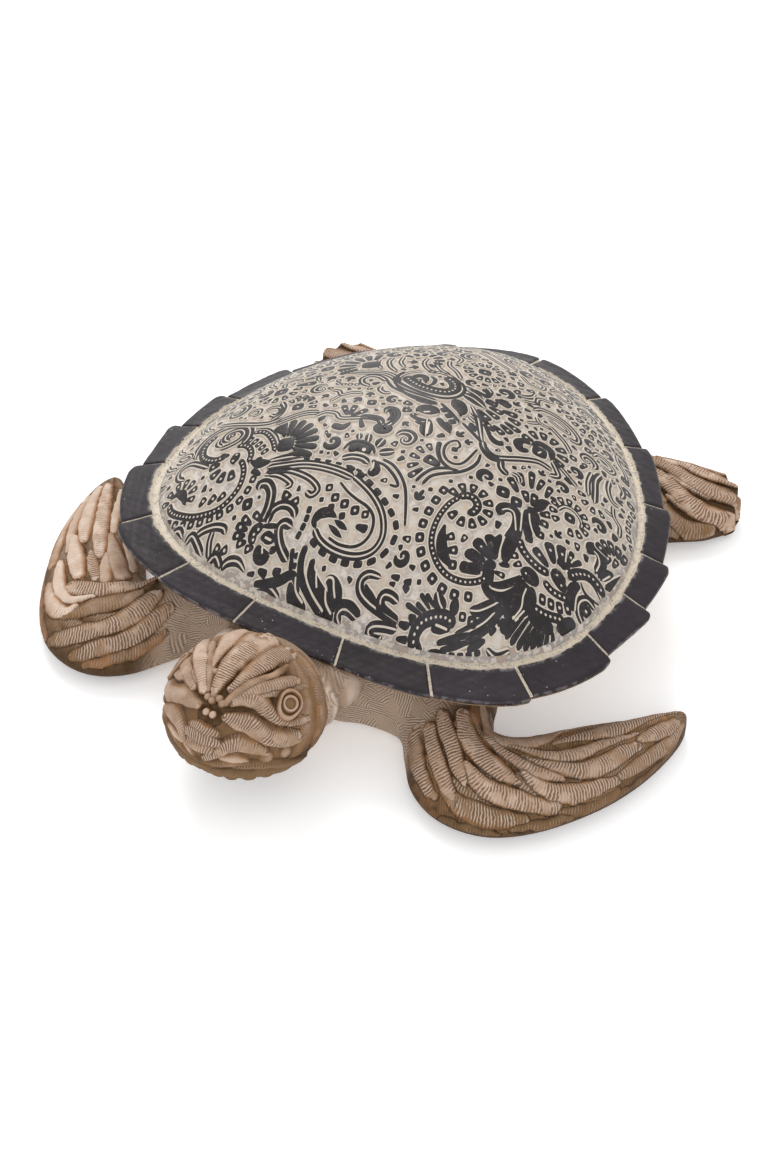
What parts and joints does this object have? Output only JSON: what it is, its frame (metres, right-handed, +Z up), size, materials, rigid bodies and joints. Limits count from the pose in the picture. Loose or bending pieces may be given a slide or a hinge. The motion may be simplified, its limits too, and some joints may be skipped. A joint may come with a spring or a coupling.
{
  "type": "sea turtle figurine",
  "caption": "Cast sea turtle ornament that stands on its flat belly, with a domed carapace in low floral relief, a ring of slates round its rim and carved head and flippers.",
  "frame": {"origin": "on the ground under the middle of the turtle's bounding box", "axes": "+Z up; the head looks along -Y; +X is the turtle's left"},
  "size_m": [0.2965, 0.2824, 0.093],
  "materials": {
    "carved_resin": "matt cast resin stained like tan wood, whitewashed over its carved ridges, with a cream and charcoal shell"
  },
  "bodies": {
    "root": {"sea_turtle": "carved_resin"}
  },
  "joints": []
}
